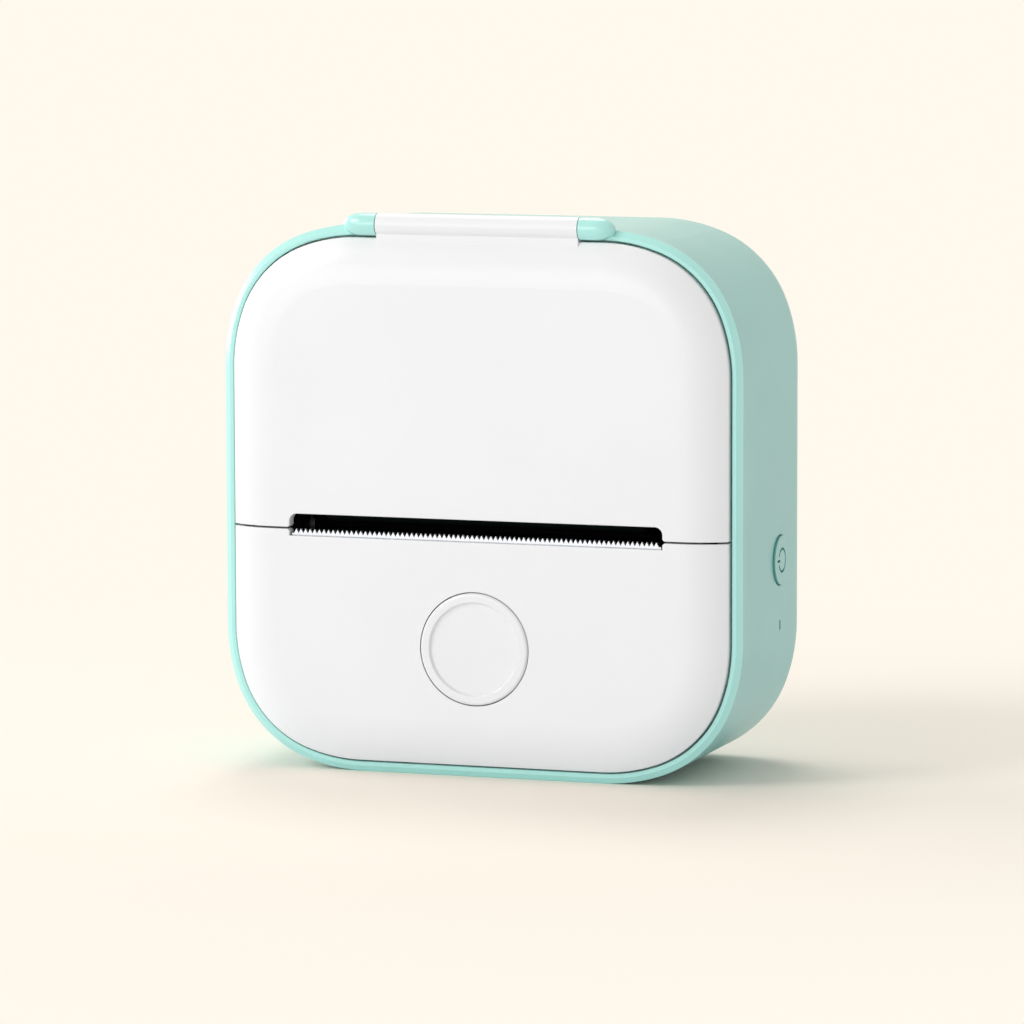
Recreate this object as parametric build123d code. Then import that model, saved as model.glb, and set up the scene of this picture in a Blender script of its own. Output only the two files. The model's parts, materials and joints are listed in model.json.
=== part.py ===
from build123d import *
import math
import os

# Mini sticker printer: a rounded-square pocket printer that stands on its lower edge.
# Millimetres. X is to the right of someone facing the front, +Y goes to the back, +Z is up.
# The origin is the middle of the base of the whole object's box.

# Case
WIDTH = 83.0
BODY_HEIGHT = 84.0
HOUSING_DEPTH = 34.0
HOUSING_WALL = 2.2
BACK_ROUND = 6.0
CORNER_END_RADIUS = 27.4
CORNER_MID_RADIUS = 18.4
CORNER_END_ANGLE = 20.0

# Rim round the front
RIM_WIDTH = 1.55
RIM_THICKNESS = 0.8
RIM_BAND_WIDTH = 0.9
RIM_BAND_DEPTH = 0.65
RIM_EDGE_ROUND = 0.2
TONGUE_INSET = 1.15
LEDGE_SETBACK = 1.5
LEDGE_THICKNESS = 1.5
LEDGE_INSET = 3.4

# White panels
PANEL_GAP = 0.3
PANEL_WALL = 1.8
CROWN_RISE = 2.75
CROWN_WIDTH = 7.0
CROWN_EDGE_DROP = 2.2
PANEL_EDGE_ROUND = 0.35
SPLIT_Z = 37.55
SPLIT_GAP = 0.3
SEAM_ROUND = 0.15
SKIRT_GAP = 0.4

# Paper, slot and tear bar
PAPER_WIDTH = 57.0
SLOT_WIDTH = 59.8
SLOT_RISE = 2.25
SLOT_DROP = 1.15
SLOT_CORNER = 1.2
SLOT_NOTCH = 0.6
TEAR_THICKNESS = 0.6
TEAR_SETBACK = 0.35
TEAR_BODY = 1.65
TEAR_LIFT = 0.16
TEAR_FACE = 0.22
TEAR_STEP = 0.3
TOOTH_HEIGHT = 0.7
TOOTH_PITCH = 0.75
TEAR_END_GAP = 0.3

# Hinge on the top edge
HINGE_RADIUS = 1.75
HINGE_BEFORE_PART = 0.8
HINGE_ABOVE_TOP = 0.15
BARREL_LENGTH = 32.2
CAP_LENGTH = 5.5
CAP_NOSE = 3.05
NECK_BEFORE_AXIS = 1.05
NECK_THICKNESS = 1.6
NECK_DEPTH = 3.6
HINGE_PIN_RADIUS = 0.6
HINGE_PIN_HALF = 4.0

# Round button on the front
BUTTON_Z = 20.1
BUTTON_RADIUS = 8.6
BUTTON_PROUD = 0.25
BUTTON_DISH_RADIUS = 7.25
BUTTON_DISH_DEPTH = 0.45
BUTTON_DISH_BEVEL = 0.25
BUTTON_EDGE_ROUND = 0.45
BUTTON_CAP = 2.0
BUTTON_FLANGE = 0.9
BUTTON_STEM_RADIUS = 2.4
BRIDGE_HALF_HEIGHT = 6.0

# Power button and lamp on the right side
POWER_Y = 4.4
POWER_Z = 32.6
POWER_RADIUS = 3.8
POWER_PROUD = 0.35
POWER_TRAVEL = 0.4
SYMBOL_RADIUS = 1.75
SYMBOL_STROKE = 0.4
SYMBOL_DEPTH = 0.3
LAMP_Z = 22.6
LAMP_WIDTH = 0.7
LAMP_HEIGHT = 1.5

# Platen roller
PLATEN_RADIUS = 4.0
PLATEN_HALF = 25.75
SHAFT_RADIUS = 1.5
BUSH_RADIUS = 2.6
BUSH_FLANGE_RADIUS = 3.3
EAR_THICKNESS = 1.6
EAR_RADIUS = 3.5
BRACKET_GAP = 0.8
ROLLER_END_GAP = 0.8
PLATEN_BEHIND_CROWN = 7.1
PAPER_ABOVE_SPLIT = 0.55

# Print head, tilted about the line where it meets the platen
HEAD_TILT = 30.0
HEAD_GAP = 0.3
HEAD_HALF = 27.3
STRIP_THICKNESS = 0.8
STRIP_LENGTH = 8.5
STRIP_LEAD = 1.2
SINK_THICKNESS = 2.2
SINK_LENGTH = 11.4
PIVOT_ALONG = 10.6
PIVOT_BELOW = 2.6
PIVOT_BARREL = 1.9
PIVOT_PIN = 1.0
HEAD_SPRING_ALONG = 4.0
HEAD_SPRING_RADIUS = 1.7
HEAD_SPRING_LENGTH = 6.0
SPRING_SEAT_RADIUS = 2.4

# Frame
FRAME_GAUGE = 1.5
FRAME_INSIDE = 30.2
FRAME_FRONT_Y = -13.2
FRAME_BACK_Y = 7.2
FRAME_FLOOR_Z = 20.2
FRAME_FLOOR = 1.2
FRAME_TOP_Z = 45.0
FOOT_Z = 18.0
FOOT_X = 27.5

# Latch lever
LATCH_GAP = 0.5
LATCH_THICKNESS = 1.6
LATCH_PIVOT_Y = -3.5
LATCH_PIVOT_Z = 28.5
LATCH_PIN = 1.0
LATCH_HUB = 2.0
LATCH_BAR = 1.6
CATCH_BACK_Y = -12.0
CATCH_THICKNESS = 1.2
CATCH_DROP = 2.2
CATCH_ABOVE_SPLIT = 0.45
HOOK_CLEAR = 0.2

# Gears
MODULE = 0.5
PLATEN_TEETH = 16
SMALL_TEETH = 12
LARGE_TEETH = 30
MOTOR_TEETH = 10
PRESSURE_ANGLE = 20.0
BACKLASH = 0.12
CENTRE_SLACK = 0.06
GEAR_WIDTH = 1.8
WHEEL_WIDTH = 1.6
GEAR_STEP = 0.3
LEVER_TO_GEAR = 0.4
PLATEN_MESH_ANGLE = -25.0
MOTOR_MESH_ANGLE = -62.0
AXLE_RADIUS = 1.0

# Motor
MOTOR_RADIUS = 7.5
MOTOR_LENGTH = 12.0
MOTOR_BOSS = 2.4
MOTOR_SHAFT = 0.75
MOTOR_EAR = 9.5
MOTOR_EAR_RADIUS = 1.9

# Boards, battery and electrical parts
BOARD = 1.0
BOARD_Y = 8.4
BOARD_LOW_Z = 15.0
BOARD_HIGH_Z = 44.5
SIDE_BOARD_X = 3.1
BATTERY_SIZE = (43.0, 6.0, 34.0)
BATTERY_LOW_Z = 5.0
USB_WIDTH = 9.0
USB_THICKNESS = 3.2
USB_DEPTH = 7.0
USB_ROUND = 1.5
USB_SHELL = 0.3
PORT_GAP = 0.2
USB_Z = 25.5
RESET_Z = 38.0
RESET_PIN = 0.5
RESET_PIN_FRONT = 0.9
RESET_HOLE = 0.6
SENSOR_X = (8.0, 13.0)
SENSOR_Y = (FRAME_BACK_Y - 3.2, FRAME_BACK_Y - 0.2)
SENSOR_HEIGHT = 1.6
SOCKET_STAND = 1.2
HEAD_SOCKET_Z = 35.5
MOTOR_SOCKET_X = -13.0
MOTOR_SOCKET_Z = 24.0
BATTERY_SOCKET_X = 12.65
BATTERY_SOCKET_Z = 42.3
LEAD_RADIUS = 0.45
LEAD_SPACING = 1.3
RIBBON_RADIUS = 0.8
PAD_THICKNESS = 0.45

# Paper bay
BAY_WALL = 1.2
BAY_SIDE_GAP = 0.4
BAY_FLOOR_Z = 45.6
BAY_FLOOR_START_Y = 2.0
BAY_TOP_INSET = 2.6
BAY_TAB_DROP = 24.0
BAY_TAB_Y = 0.8

# Screws and fits
SCREW_RADIUS = 0.8
SCREW_HEAD = 1.5
SCREW_HEAD_HEIGHT = 1.1
SCREW_LENGTH = 6.0
POST_RADIUS = 2.4
CORNER_SCREW_X = 8.5
CORNER_SCREW_Z = 11.5
RUNNING = 0.04
SLIDING = 0.15
TOUCH = 0.02

# Depths worked out from the front
DEPTH = BUTTON_PROUD + CROWN_RISE + RIM_THICKNESS + HOUSING_DEPTH
Y_BUTTON = -DEPTH / 2
Y_CROWN = Y_BUTTON + BUTTON_PROUD
Y_LAND = Y_CROWN + CROWN_RISE
Y_PART = Y_LAND + RIM_THICKNESS
Y_LEDGE = Y_PART + LEDGE_SETBACK
Y_LEDGE_BACK = Y_LEDGE + LEDGE_THICKNESS
Y_SKIRT = Y_LEDGE - SKIRT_GAP
Y_BACK = DEPTH / 2
Y_INNER_BACK = Y_BACK - HOUSING_WALL
Y_PANEL_INNER = Y_CROWN + PANEL_WALL
X_SIDE = WIDTH / 2
X_INNER = X_SIDE - HOUSING_WALL

# The crown is an arc that is tangent to the flat front and ends at the panel's edge.
PANEL_INSET = RIM_WIDTH + PANEL_GAP
CROWN_RADIUS = (CROWN_WIDTH ** 2 + CROWN_EDGE_DROP ** 2) / (2 * CROWN_EDGE_DROP)
CROWN_OVERHANG = CROWN_RADIUS - CROWN_WIDTH

SLOT_TOP = SPLIT_Z + SLOT_RISE
SLOT_BOTTOM = SPLIT_Z - SLOT_DROP
Y_TEAR = Y_CROWN + TEAR_SETBACK

Y_HINGE = Y_PART - HINGE_BEFORE_PART
Z_HINGE = BODY_HEIGHT + HINGE_ABOVE_TOP
BARREL_HALF = BARREL_LENGTH / 2
CAP_START = BARREL_HALF + SLIDING
CAP_END = CAP_START + CAP_LENGTH

Y_PLATEN = Y_CROWN + PLATEN_BEHIND_CROWN
Z_PAPER = SPLIT_Z + PAPER_ABOVE_SPLIT
Z_PLATEN = Z_PAPER + PLATEN_RADIUS

BAY_TAB_Z = BODY_HEIGHT - BAY_TAB_DROP

FRAME_OUTSIDE = FRAME_INSIDE + FRAME_GAUGE
LATCH_INSIDE = FRAME_OUTSIDE + LATCH_GAP
LATCH_OUTSIDE = LATCH_INSIDE + LATCH_THICKNESS
GEAR_PLANE = LATCH_OUTSIDE + LEVER_TO_GEAR
WHEEL_PLANE = GEAR_PLANE + GEAR_WIDTH + GEAR_STEP


def mesh_distance(teeth, other_teeth):
    return MODULE * (teeth + other_teeth) / 2 + CENTRE_SLACK


def polar(radius, degrees):
    """A step in the Y-Z plane, the angle counted from +Y towards +Z."""
    angle = math.radians(degrees)
    return Vector(radius * math.cos(angle), radius * math.sin(angle))


PLATEN_AXIS = Vector(Y_PLATEN, Z_PLATEN)
REDUCTION_AXIS = PLATEN_AXIS + polar(mesh_distance(PLATEN_TEETH, SMALL_TEETH), PLATEN_MESH_ANGLE)
MOTOR_AXIS = REDUCTION_AXIS + polar(mesh_distance(LARGE_TEETH, MOTOR_TEETH), MOTOR_MESH_ANGLE)
LATCH_AXIS = Vector(LATCH_PIVOT_Y, LATCH_PIVOT_Z)

# The head's own directions: along the paper away from the slot, and down away from the platen.
HEAD_ALONG = polar(1, HEAD_TILT)
HEAD_DOWN = polar(1, HEAD_TILT - 90)
HEAD_LINE = PLATEN_AXIS + HEAD_DOWN * PLATEN_RADIUS
HEAD_AXIS = HEAD_LINE + HEAD_ALONG * PIVOT_ALONG + HEAD_DOWN * PIVOT_BELOW


def front_plane(y, z=0.0):
    """A plane that faces the front, with its own x along +X and its own y along +Z."""
    return Plane(origin=(0, y, z), x_dir=(1, 0, 0), z_dir=(0, -1, 0))


def side_plane(x):
    """A plane that faces +X, with its own x along +Y and its own y along +Z."""
    return Plane(origin=(x, 0, 0), x_dir=(0, 1, 0), z_dir=(1, 0, 0))


def prism(face, y_front, y_back):
    """A sketch in X and Z, extruded from y_front to y_back."""
    return extrude(front_plane(y_back) * face, y_back - y_front)


def slab(face, x_low, x_high):
    """A sketch in Y and Z, extruded from x_low to x_high."""
    return extrude(side_plane(x_low) * face, x_high - x_low)


def block(x, y, z):
    """A box between two values along each axis."""
    size = [high - low for low, high in (x, y, z)]
    middle = [(low + high) / 2 for low, high in (x, y, z)]
    return Pos(*middle) * Box(*size)


def rod_x(radius, x_low, x_high, centre):
    return slab(Pos(centre.X, centre.Y) * Circle(radius), x_low, x_high)


def rod_y(radius, y_low, y_high, x, z):
    return prism(Pos(x, z) * Circle(radius), y_low, y_high)


def rod_z(radius, z_low, z_high, x, y):
    return Pos(x, y, (z_low + z_high) / 2) * Cylinder(radius, z_high - z_low)


def mirrored(shape):
    """The shape and its twin on the other side of the middle."""
    return shape + mirror(shape, Plane.YZ)


def outline(inset):
    """The case's rounded square, drawn inset inside the outermost one. Each corner is three arcs."""
    half_width = WIDTH / 2 - inset
    half_height = BODY_HEIGHT / 2 - inset
    end_radius = CORNER_END_RADIUS - inset
    mid_radius = CORNER_MID_RADIUS - inset
    sine = math.sin(math.radians(CORNER_END_ANGLE))
    cosine = math.cos(math.radians(CORNER_END_ANGLE))
    reach = end_radius * (1 + sine - cosine) + mid_radius * (cosine - sine)
    first = Vector(half_width - end_radius, half_height - reach)
    middle = first + Vector(cosine, sine) * (end_radius - mid_radius)
    last = middle - Vector(sine, cosine) * (end_radius - mid_radius)
    corner = CenterArc(first, end_radius, 0, CORNER_END_ANGLE)
    corner += CenterArc(middle, mid_radius, CORNER_END_ANGLE, 90 - 2 * CORNER_END_ANGLE)
    corner += CenterArc(last, end_radius, 90 - CORNER_END_ANGLE, CORNER_END_ANGLE)
    quarter = Line((half_width, 0), (half_width, half_height - reach)) + corner
    quarter += Line((half_width - reach, half_height), (0, half_height))
    half = quarter + mirror(quarter, Plane.YZ)
    return Pos(0, BODY_HEIGHT / 2) * make_face(half + mirror(half, Plane.XZ))


def screw(y_head, x, z, length=SCREW_LENGTH):
    """A pan-head screw that is driven from the front, its head's underside at y_head."""
    head = rod_y(SCREW_HEAD, y_head - SCREW_HEAD_HEIGHT, y_head, x, z)
    cross = Rectangle(SCREW_HEAD * 1.2, 0.35) + Rectangle(0.35, SCREW_HEAD * 1.2)
    head -= prism(Pos(x, z) * cross, y_head - SCREW_HEAD_HEIGHT, y_head - SCREW_HEAD_HEIGHT / 2)
    return head + rod_y(SCREW_RADIUS, y_head, y_head + length, x, z)


def corner_screw_places():
    """The four screws that hold the rim to the housing, inside the rounded corners."""
    x = X_SIDE - CORNER_SCREW_X
    return [(sx * x, z) for sx in (-1, 1) for z in (CORNER_SCREW_Z, BODY_HEIGHT - CORNER_SCREW_Z)]


def crowned_block(offset, y_back):
    """The space inside the panels' front surface, offset inwards from it."""
    blank = prism(outline(PANEL_INSET - CROWN_OVERHANG + offset), Y_CROWN + offset, y_back)
    front_edges = blank.faces().sort_by(Axis.Y)[0].edges()
    blank = fillet(front_edges, CROWN_RADIUS - offset)
    return blank & prism(outline(PANEL_INSET + offset), Y_CROWN, y_back)


def panel_blank():
    """Both panels as one solid, with its outer edge rounded into the gap round the rim."""
    blank = crowned_block(0, Y_CROWN + CROWN_RADIUS + 1)
    edge_y = Y_CROWN + CROWN_EDGE_DROP
    edges = [edge for edge in blank.edges() if abs(edge.center().Y - edge_y) < 0.02]
    blank = fillet(edges, PANEL_EDGE_ROUND)
    return blank & block((-X_SIDE, X_SIDE), (Y_CROWN - 1, Y_LEDGE), (0, BODY_HEIGHT))


def soften_seam(panel, split_edge_z):
    """Round the panel's front edges along the split and round the slot."""
    edges = []
    for edge in panel.edges():
        box = edge.bounding_box()
        along_split = max(abs(box.min.Z - split_edge_z), abs(box.max.Z - split_edge_z)) < 0.01
        on_front = box.max.Y < Y_CROWN + 0.01
        round_slot = max(abs(box.min.X), abs(box.max.X)) < SLOT_WIDTH / 2 + SLOT_NOTCH and on_front
        if (along_split and box.min.Y < Y_CROWN + 0.01 and box.max.Y < Y_LAND) or round_slot:
            edges.append(edge)
    return fillet(edges, SEAM_ROUND)


def slot_space():
    """The paper slot, rounded at its upper corners, with a small notch where the split meets each end."""
    height = SLOT_TOP - SLOT_BOTTOM
    face = Pos(0, SLOT_BOTTOM + height / 2) * Rectangle(SLOT_WIDTH, height)
    face = fillet(face.vertices().group_by(Axis.Y)[-1], SLOT_CORNER)
    for side in (-1, 1):
        face += Pos(side * SLOT_WIDTH / 2, SPLIT_Z) * Rot(0, 0, 45) * Rectangle(SLOT_NOTCH, SLOT_NOTCH)
    return prism(face, Y_CROWN - 1, Y_PART)


def hinge_body(half, radius, end_round=0.0):
    """A bar along the hinge axis; end_round gives it bullet-shaped ends."""
    straight = half - end_round
    bar = rod_x(radius, -straight, straight, Vector(Y_HINGE, Z_HINGE))
    if end_round:
        nose = Line((0, 0), (0, radius)) + Line((0, 0), (end_round, 0))
        nose += EllipticalCenterArc((0, 0), end_round, radius, arc_size=90)
        dome = revolve(make_face(nose), Axis.X)
        bar += mirrored(Pos(straight, Y_HINGE, Z_HINGE) * dome)
    return bar


def rounded_case(inset):
    """The case from the parting line to its rounded back, offset inwards."""
    case = prism(outline(inset), Y_PART, Y_BACK - inset)
    return fillet(case.faces().sort_by(Axis.Y)[-1].edges(), BACK_ROUND - inset)


def rear_housing():
    shell = rounded_case(0) - rounded_case(HOUSING_WALL)
    shell -= prism(outline(TONGUE_INSET - RUNNING), Y_PART, Y_LEDGE_BACK)
    shell -= hinge_body(CAP_END + SLIDING, HINGE_RADIUS + SLIDING, CAP_NOSE)
    shell -= hinge_body(BARREL_HALF + SLIDING, HINGE_RADIUS + 2 * SLIDING)
    posts = [(x, z, Y_LEDGE_BACK) for x, z in corner_screw_places()]
    posts += [(side * FOOT_X, FOOT_Z, FRAME_BACK_Y) for side in (-1, 1)]
    posts += [(x, z, BOARD_Y + BOARD) for x, z in board_screw_places()]
    posts += [(side * bay_tab_x(), BAY_TAB_Z, BAY_TAB_Y + BAY_WALL) for side in (-1, 1)]
    for x, z, y in posts:
        shell += rod_y(POST_RADIUS, y, Y_INNER_BACK + 0.5, x, z)
    for x, z, y in posts:
        shell -= rod_y(SCREW_RADIUS, y, y + SCREW_LENGTH, x, z)
    for y, z in side_screw_places():
        place = Vector(y, z)
        shell += rod_x(POST_RADIUS - 0.6, X_INNER - SIDE_BOARD_X, X_INNER + 0.5, place)
        shell -= rod_x(SCREW_RADIUS - 0.2, X_INNER - SIDE_BOARD_X, X_INNER, place)
    shell -= rod_x(POWER_RADIUS + SLIDING, X_INNER - 1, X_SIDE + 1, Vector(POWER_Y, POWER_Z))
    lamp = Pos(POWER_Y, LAMP_Z) * Rectangle(LAMP_WIDTH, LAMP_HEIGHT)
    shell -= slab(lamp, X_INNER - 1, X_SIDE + 1)
    port = RectangleRounded(USB_THICKNESS + 2 * PORT_GAP, USB_WIDTH + 2 * PORT_GAP, USB_ROUND + PORT_GAP)
    port = Pos(usb_y(), USB_Z) * port
    shell -= slab(port, -X_SIDE - 1, -X_INNER + 1)
    shell -= rod_x(RESET_HOLE, -X_SIDE - 1, -X_INNER + 1, Vector(BOARD_Y - RESET_PIN_FRONT, RESET_Z))
    return shell


def front_bezel():
    outer_band = loft([front_plane(Y_LAND) * outline(RIM_BAND_WIDTH),
                       front_plane(Y_LAND + RIM_BAND_DEPTH) * outline(0)], ruled=True)
    bezel = outer_band + prism(outline(0), Y_LAND + RIM_BAND_DEPTH, Y_PART)
    bezel += prism(outline(TONGUE_INSET), Y_PART, Y_LEDGE_BACK)
    bezel -= prism(outline(RIM_WIDTH), Y_LAND, Y_LEDGE)
    inner_edges = bezel.faces().sort_by(Axis.Y)[0].inner_wires()[0].edges()
    bezel = fillet(inner_edges, RIM_EDGE_ROUND)
    window = prism(outline(LEDGE_INSET), Y_LEDGE, Y_LEDGE_BACK)
    for x, z in corner_screw_places():
        window -= rod_y(SCREW_HEAD + 2, Y_LEDGE, Y_LEDGE_BACK, x, z)
    bridge_z = (BUTTON_Z - BRIDGE_HALF_HEIGHT, BUTTON_Z + BRIDGE_HALF_HEIGHT)
    window -= block((-X_SIDE, X_SIDE), (Y_LEDGE, Y_LEDGE_BACK), bridge_z)
    bezel -= window
    bezel -= rod_y(BUTTON_STEM_RADIUS + SLIDING, Y_LEDGE, Y_LEDGE_BACK, 0, BUTTON_Z)
    for x, z in corner_screw_places():
        bezel -= rod_y(SCREW_RADIUS + SLIDING, Y_LEDGE, Y_LEDGE_BACK, x, z)
    caps = hinge_body(CAP_END, HINGE_RADIUS, CAP_NOSE)
    middle = (-CAP_START, CAP_START)
    above = (BODY_HEIGHT - PANEL_INSET - 2, BODY_HEIGHT + HINGE_RADIUS + 1)
    caps -= block(middle, (Y_CROWN, Y_BACK), above)
    bezel -= block(middle, (Y_CROWN, Y_LEDGE), above)
    bezel -= hinge_body(CAP_START, HINGE_RADIUS + 2 * SLIDING)
    bezel += caps
    bezel -= hinge_body(BARREL_HALF + HINGE_PIN_HALF, HINGE_PIN_RADIUS)
    return bezel


def bezel_screws():
    return [screw(Y_LEDGE, x, z) for x, z in corner_screw_places()]


def hinge_pins():
    start = BARREL_HALF - HINGE_PIN_HALF
    pin = rod_x(HINGE_PIN_RADIUS, start, BARREL_HALF + HINGE_PIN_HALF, Vector(Y_HINGE, Z_HINGE))
    return mirrored(pin)


def catch_posts():
    """Two ribs inside the cover, each with a catch over the end of a latch hook."""
    z_low = SPLIT_Z + CATCH_ABOVE_SPLIT
    front = Y_PANEL_INNER - 0.5
    lug = block((LATCH_INSIDE, LATCH_OUTSIDE), (CATCH_BACK_Y - CATCH_THICKNESS, CATCH_BACK_Y),
                (z_low, z_low + CATCH_DROP))
    arm_low = z_low + CATCH_DROP - 0.8
    arm = block((LATCH_INSIDE, LATCH_OUTSIDE), (front, CATCH_BACK_Y), (arm_low, arm_low + 0.8))
    rib = block((LATCH_INSIDE, LATCH_OUTSIDE), (front, CATCH_BACK_Y - CATCH_THICKNESS - 0.5),
                (arm_low, arm_low + 3.2))
    return mirrored(lug + arm + rib)


def top_cover():
    above = block((-X_SIDE, X_SIDE), (Y_CROWN - 1, Y_LEDGE), (SPLIT_Z + SPLIT_GAP / 2, BODY_HEIGHT))
    room_low = SPLIT_Z + SPLIT_GAP / 2 + PANEL_WALL
    room = crowned_block(PANEL_WALL, Y_CROWN + CROWN_RADIUS + 1)
    room &= block((-X_SIDE, X_SIDE), (Y_CROWN, Y_LEDGE + 1), (room_low, BODY_HEIGHT))
    cover = (panel_blank() & above) - room
    cover -= block((-X_SIDE, X_SIDE), (Y_SKIRT, Y_LEDGE + 1), (0, BODY_HEIGHT))
    cover = soften_seam(cover - slot_space(), SPLIT_Z + SPLIT_GAP / 2)
    cover -= rod_x(PLATEN_RADIUS + 0.5, -FRAME_OUTSIDE, FRAME_OUTSIDE, PLATEN_AXIS)
    clear = WHEEL_PLANE + 0.2
    cover -= block((-clear, clear), (Y_PANEL_INNER, Y_LEDGE), (SPLIT_Z, room_low))
    barrel = hinge_body(BARREL_HALF, HINGE_RADIUS)
    neck_front = Y_HINGE - NECK_BEFORE_AXIS
    neck = block((-BARREL_HALF, BARREL_HALF), (neck_front, neck_front + NECK_THICKNESS),
                 (Z_HINGE - NECK_DEPTH, Z_HINGE))
    cover += barrel + neck
    cover -= hinge_body(BARREL_HALF + 1, HINGE_PIN_RADIUS + RUNNING) - hinge_body(
        BARREL_HALF - HINGE_PIN_HALF - 0.5, HINGE_PIN_RADIUS + 1)
    cover += catch_posts()
    for x, z in bracket_screw_places():
        cover += rod_y(1.8, Y_PANEL_INNER - 0.5, bracket_y(), x, z)
        cover -= rod_y(SCREW_RADIUS, Y_PANEL_INNER - 0.3, bracket_y(), x, z)
    return cover


def bracket_y():
    """The front face of the bracket that carries the platen, just behind the cover's inner face."""
    return Y_PANEL_INNER + BRACKET_GAP


def bracket_screw_places():
    z = Z_PLATEN + PLATEN_RADIUS + 6
    return [(side * (PLATEN_HALF - 6), z) for side in (-1, 1)]


def ear_start():
    return PLATEN_HALF + ROLLER_END_GAP


def platen_bracket():
    """A bent plate: its back lies along the cover and its two ears hold the roller's bushes."""
    z_low = Z_PLATEN + PLATEN_RADIUS + 2
    z_high = z_low + 8
    x_end = ear_start() + EAR_THICKNESS
    plate = block((-x_end, x_end), (bracket_y(), bracket_y() + EAR_THICKNESS), (z_low, z_high))
    top = PLATEN_AXIS + Vector(EAR_RADIUS - 0.6, z_low + 2.5 - Z_PLATEN)
    corners = [(bracket_y(), z_low), (bracket_y(), z_high), (top.X, top.Y)]
    corners += [(Y_PLATEN + EAR_RADIUS, Z_PLATEN), (Y_PLATEN - EAR_RADIUS, Z_PLATEN)]
    ear = make_face(Polyline(*corners, close=True)) + Pos(Y_PLATEN, Z_PLATEN) * Circle(EAR_RADIUS)
    bracket = plate + mirrored(slab(ear, ear_start(), x_end))
    bracket -= rod_x(BUSH_RADIUS + TOUCH, -x_end - 1, x_end + 1, PLATEN_AXIS)
    for x, z in bracket_screw_places():
        bracket -= rod_y(SCREW_RADIUS + SLIDING, bracket_y(), bracket_y() + EAR_THICKNESS, x, z)
    return bracket


def bracket_screws():
    """Two screws driven towards the front, from behind the bracket."""
    screws = []
    for x, z in bracket_screw_places():
        forward = screw(-(bracket_y() + EAR_THICKNESS), -x, z, 2.5)
        screws.append(Rot(0, 0, 180) * forward)
    return screws


def platen_bushes():
    bush = rod_x(BUSH_RADIUS, ear_start(), FRAME_OUTSIDE, PLATEN_AXIS)
    flange_start = ear_start() + EAR_THICKNESS + TOUCH
    bush += rod_x(BUSH_FLANGE_RADIUS, flange_start, flange_start + 0.8, PLATEN_AXIS)
    bush -= rod_x(SHAFT_RADIUS + RUNNING, ear_start() - 1, FRAME_OUTSIDE + 1, PLATEN_AXIS)
    return mirrored(bush)


def platen_shaft():
    return rod_x(SHAFT_RADIUS, -GEAR_PLANE - GEAR_WIDTH, FRAME_OUTSIDE - 0.2, PLATEN_AXIS)


def platen_rubber():
    rubber = rod_x(PLATEN_RADIUS, -PLATEN_HALF, PLATEN_HALF, PLATEN_AXIS)
    rubber = chamfer(rubber.edges(), 0.3)
    return rubber - rod_x(SHAFT_RADIUS, -PLATEN_HALF, PLATEN_HALF, PLATEN_AXIS)


def gear_face(teeth, tooth_direction):
    """An involute spur gear, with one tooth pointing along tooth_direction, in degrees."""
    pitch = MODULE * teeth / 2
    base = pitch * math.cos(math.radians(PRESSURE_ANGLE))
    tip = pitch + MODULE * 0.95
    root = pitch - MODULE * 1.25
    half_at_pitch = (math.pi * MODULE / 2 - BACKLASH) / (2 * pitch)

    def involute(radius):
        turn = math.acos(min(1.0, base / radius))
        return math.tan(turn) - turn

    flank = []
    for radius in (max(base, root), pitch, (pitch + tip) / 2, tip):
        flank.append((radius, half_at_pitch + involute(pitch) - involute(radius)))
    if root < base:
        flank.insert(0, (root, flank[0][1]))
    points = []
    for tooth in range(teeth):
        middle = math.radians(tooth_direction) + 2 * math.pi * tooth / teeth
        for radius, half in flank:
            points.append((radius * math.cos(middle - half), radius * math.sin(middle - half)))
        for radius, half in reversed(flank):
            points.append((radius * math.cos(middle + half), radius * math.sin(middle + half)))
    return make_face(Polyline(*points, close=True))


def spur_gear(teeth, tooth_direction, axis, x_near, width):
    """A gear on the left side, from x_near outwards."""
    face = Pos(axis.X, axis.Y) * gear_face(teeth, tooth_direction)
    return slab(face, -x_near - width, -x_near)


def platen_gear():
    gear = spur_gear(PLATEN_TEETH, PLATEN_MESH_ANGLE, PLATEN_AXIS, GEAR_PLANE, GEAR_WIDTH)
    return gear - rod_x(SHAFT_RADIUS, -X_SIDE, 0, PLATEN_AXIS)


def reduction_gear():
    """A small and a large gear in one, on the axle between motor and roller."""
    small_phase = PLATEN_MESH_ANGLE + 180 + 180 / SMALL_TEETH
    gear = spur_gear(SMALL_TEETH, small_phase, REDUCTION_AXIS, GEAR_PLANE, GEAR_WIDTH + GEAR_STEP)
    gear += spur_gear(LARGE_TEETH, MOTOR_MESH_ANGLE, REDUCTION_AXIS, WHEEL_PLANE, WHEEL_WIDTH)
    return gear - rod_x(AXLE_RADIUS + RUNNING, -X_SIDE, 0, REDUCTION_AXIS)


def gear_axle():
    end = WHEEL_PLANE + WHEEL_WIDTH + 0.7
    axle = rod_x(AXLE_RADIUS, -end, -FRAME_INSIDE, REDUCTION_AXIS)
    return axle + rod_x(AXLE_RADIUS + 0.5, -GEAR_PLANE + TOUCH * 5, -FRAME_OUTSIDE, REDUCTION_AXIS)


def gear_clip():
    """A split ring on the end of the axle."""
    start = WHEEL_PLANE + WHEEL_WIDTH + 0.1
    ring = Circle(AXLE_RADIUS + 0.9) - Circle(AXLE_RADIUS)
    ring -= Pos(0, AXLE_RADIUS + 0.5) * Rectangle(1.0, 1.4)
    return slab(Pos(REDUCTION_AXIS.X, REDUCTION_AXIS.Y) * ring, -start - 0.4, -start)


def motor_ears():
    """The middles of the two screw holes in the motor's flange."""
    return [MOTOR_AXIS + polar(MOTOR_EAR, angle) for angle in (-45, 135)]


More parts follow.
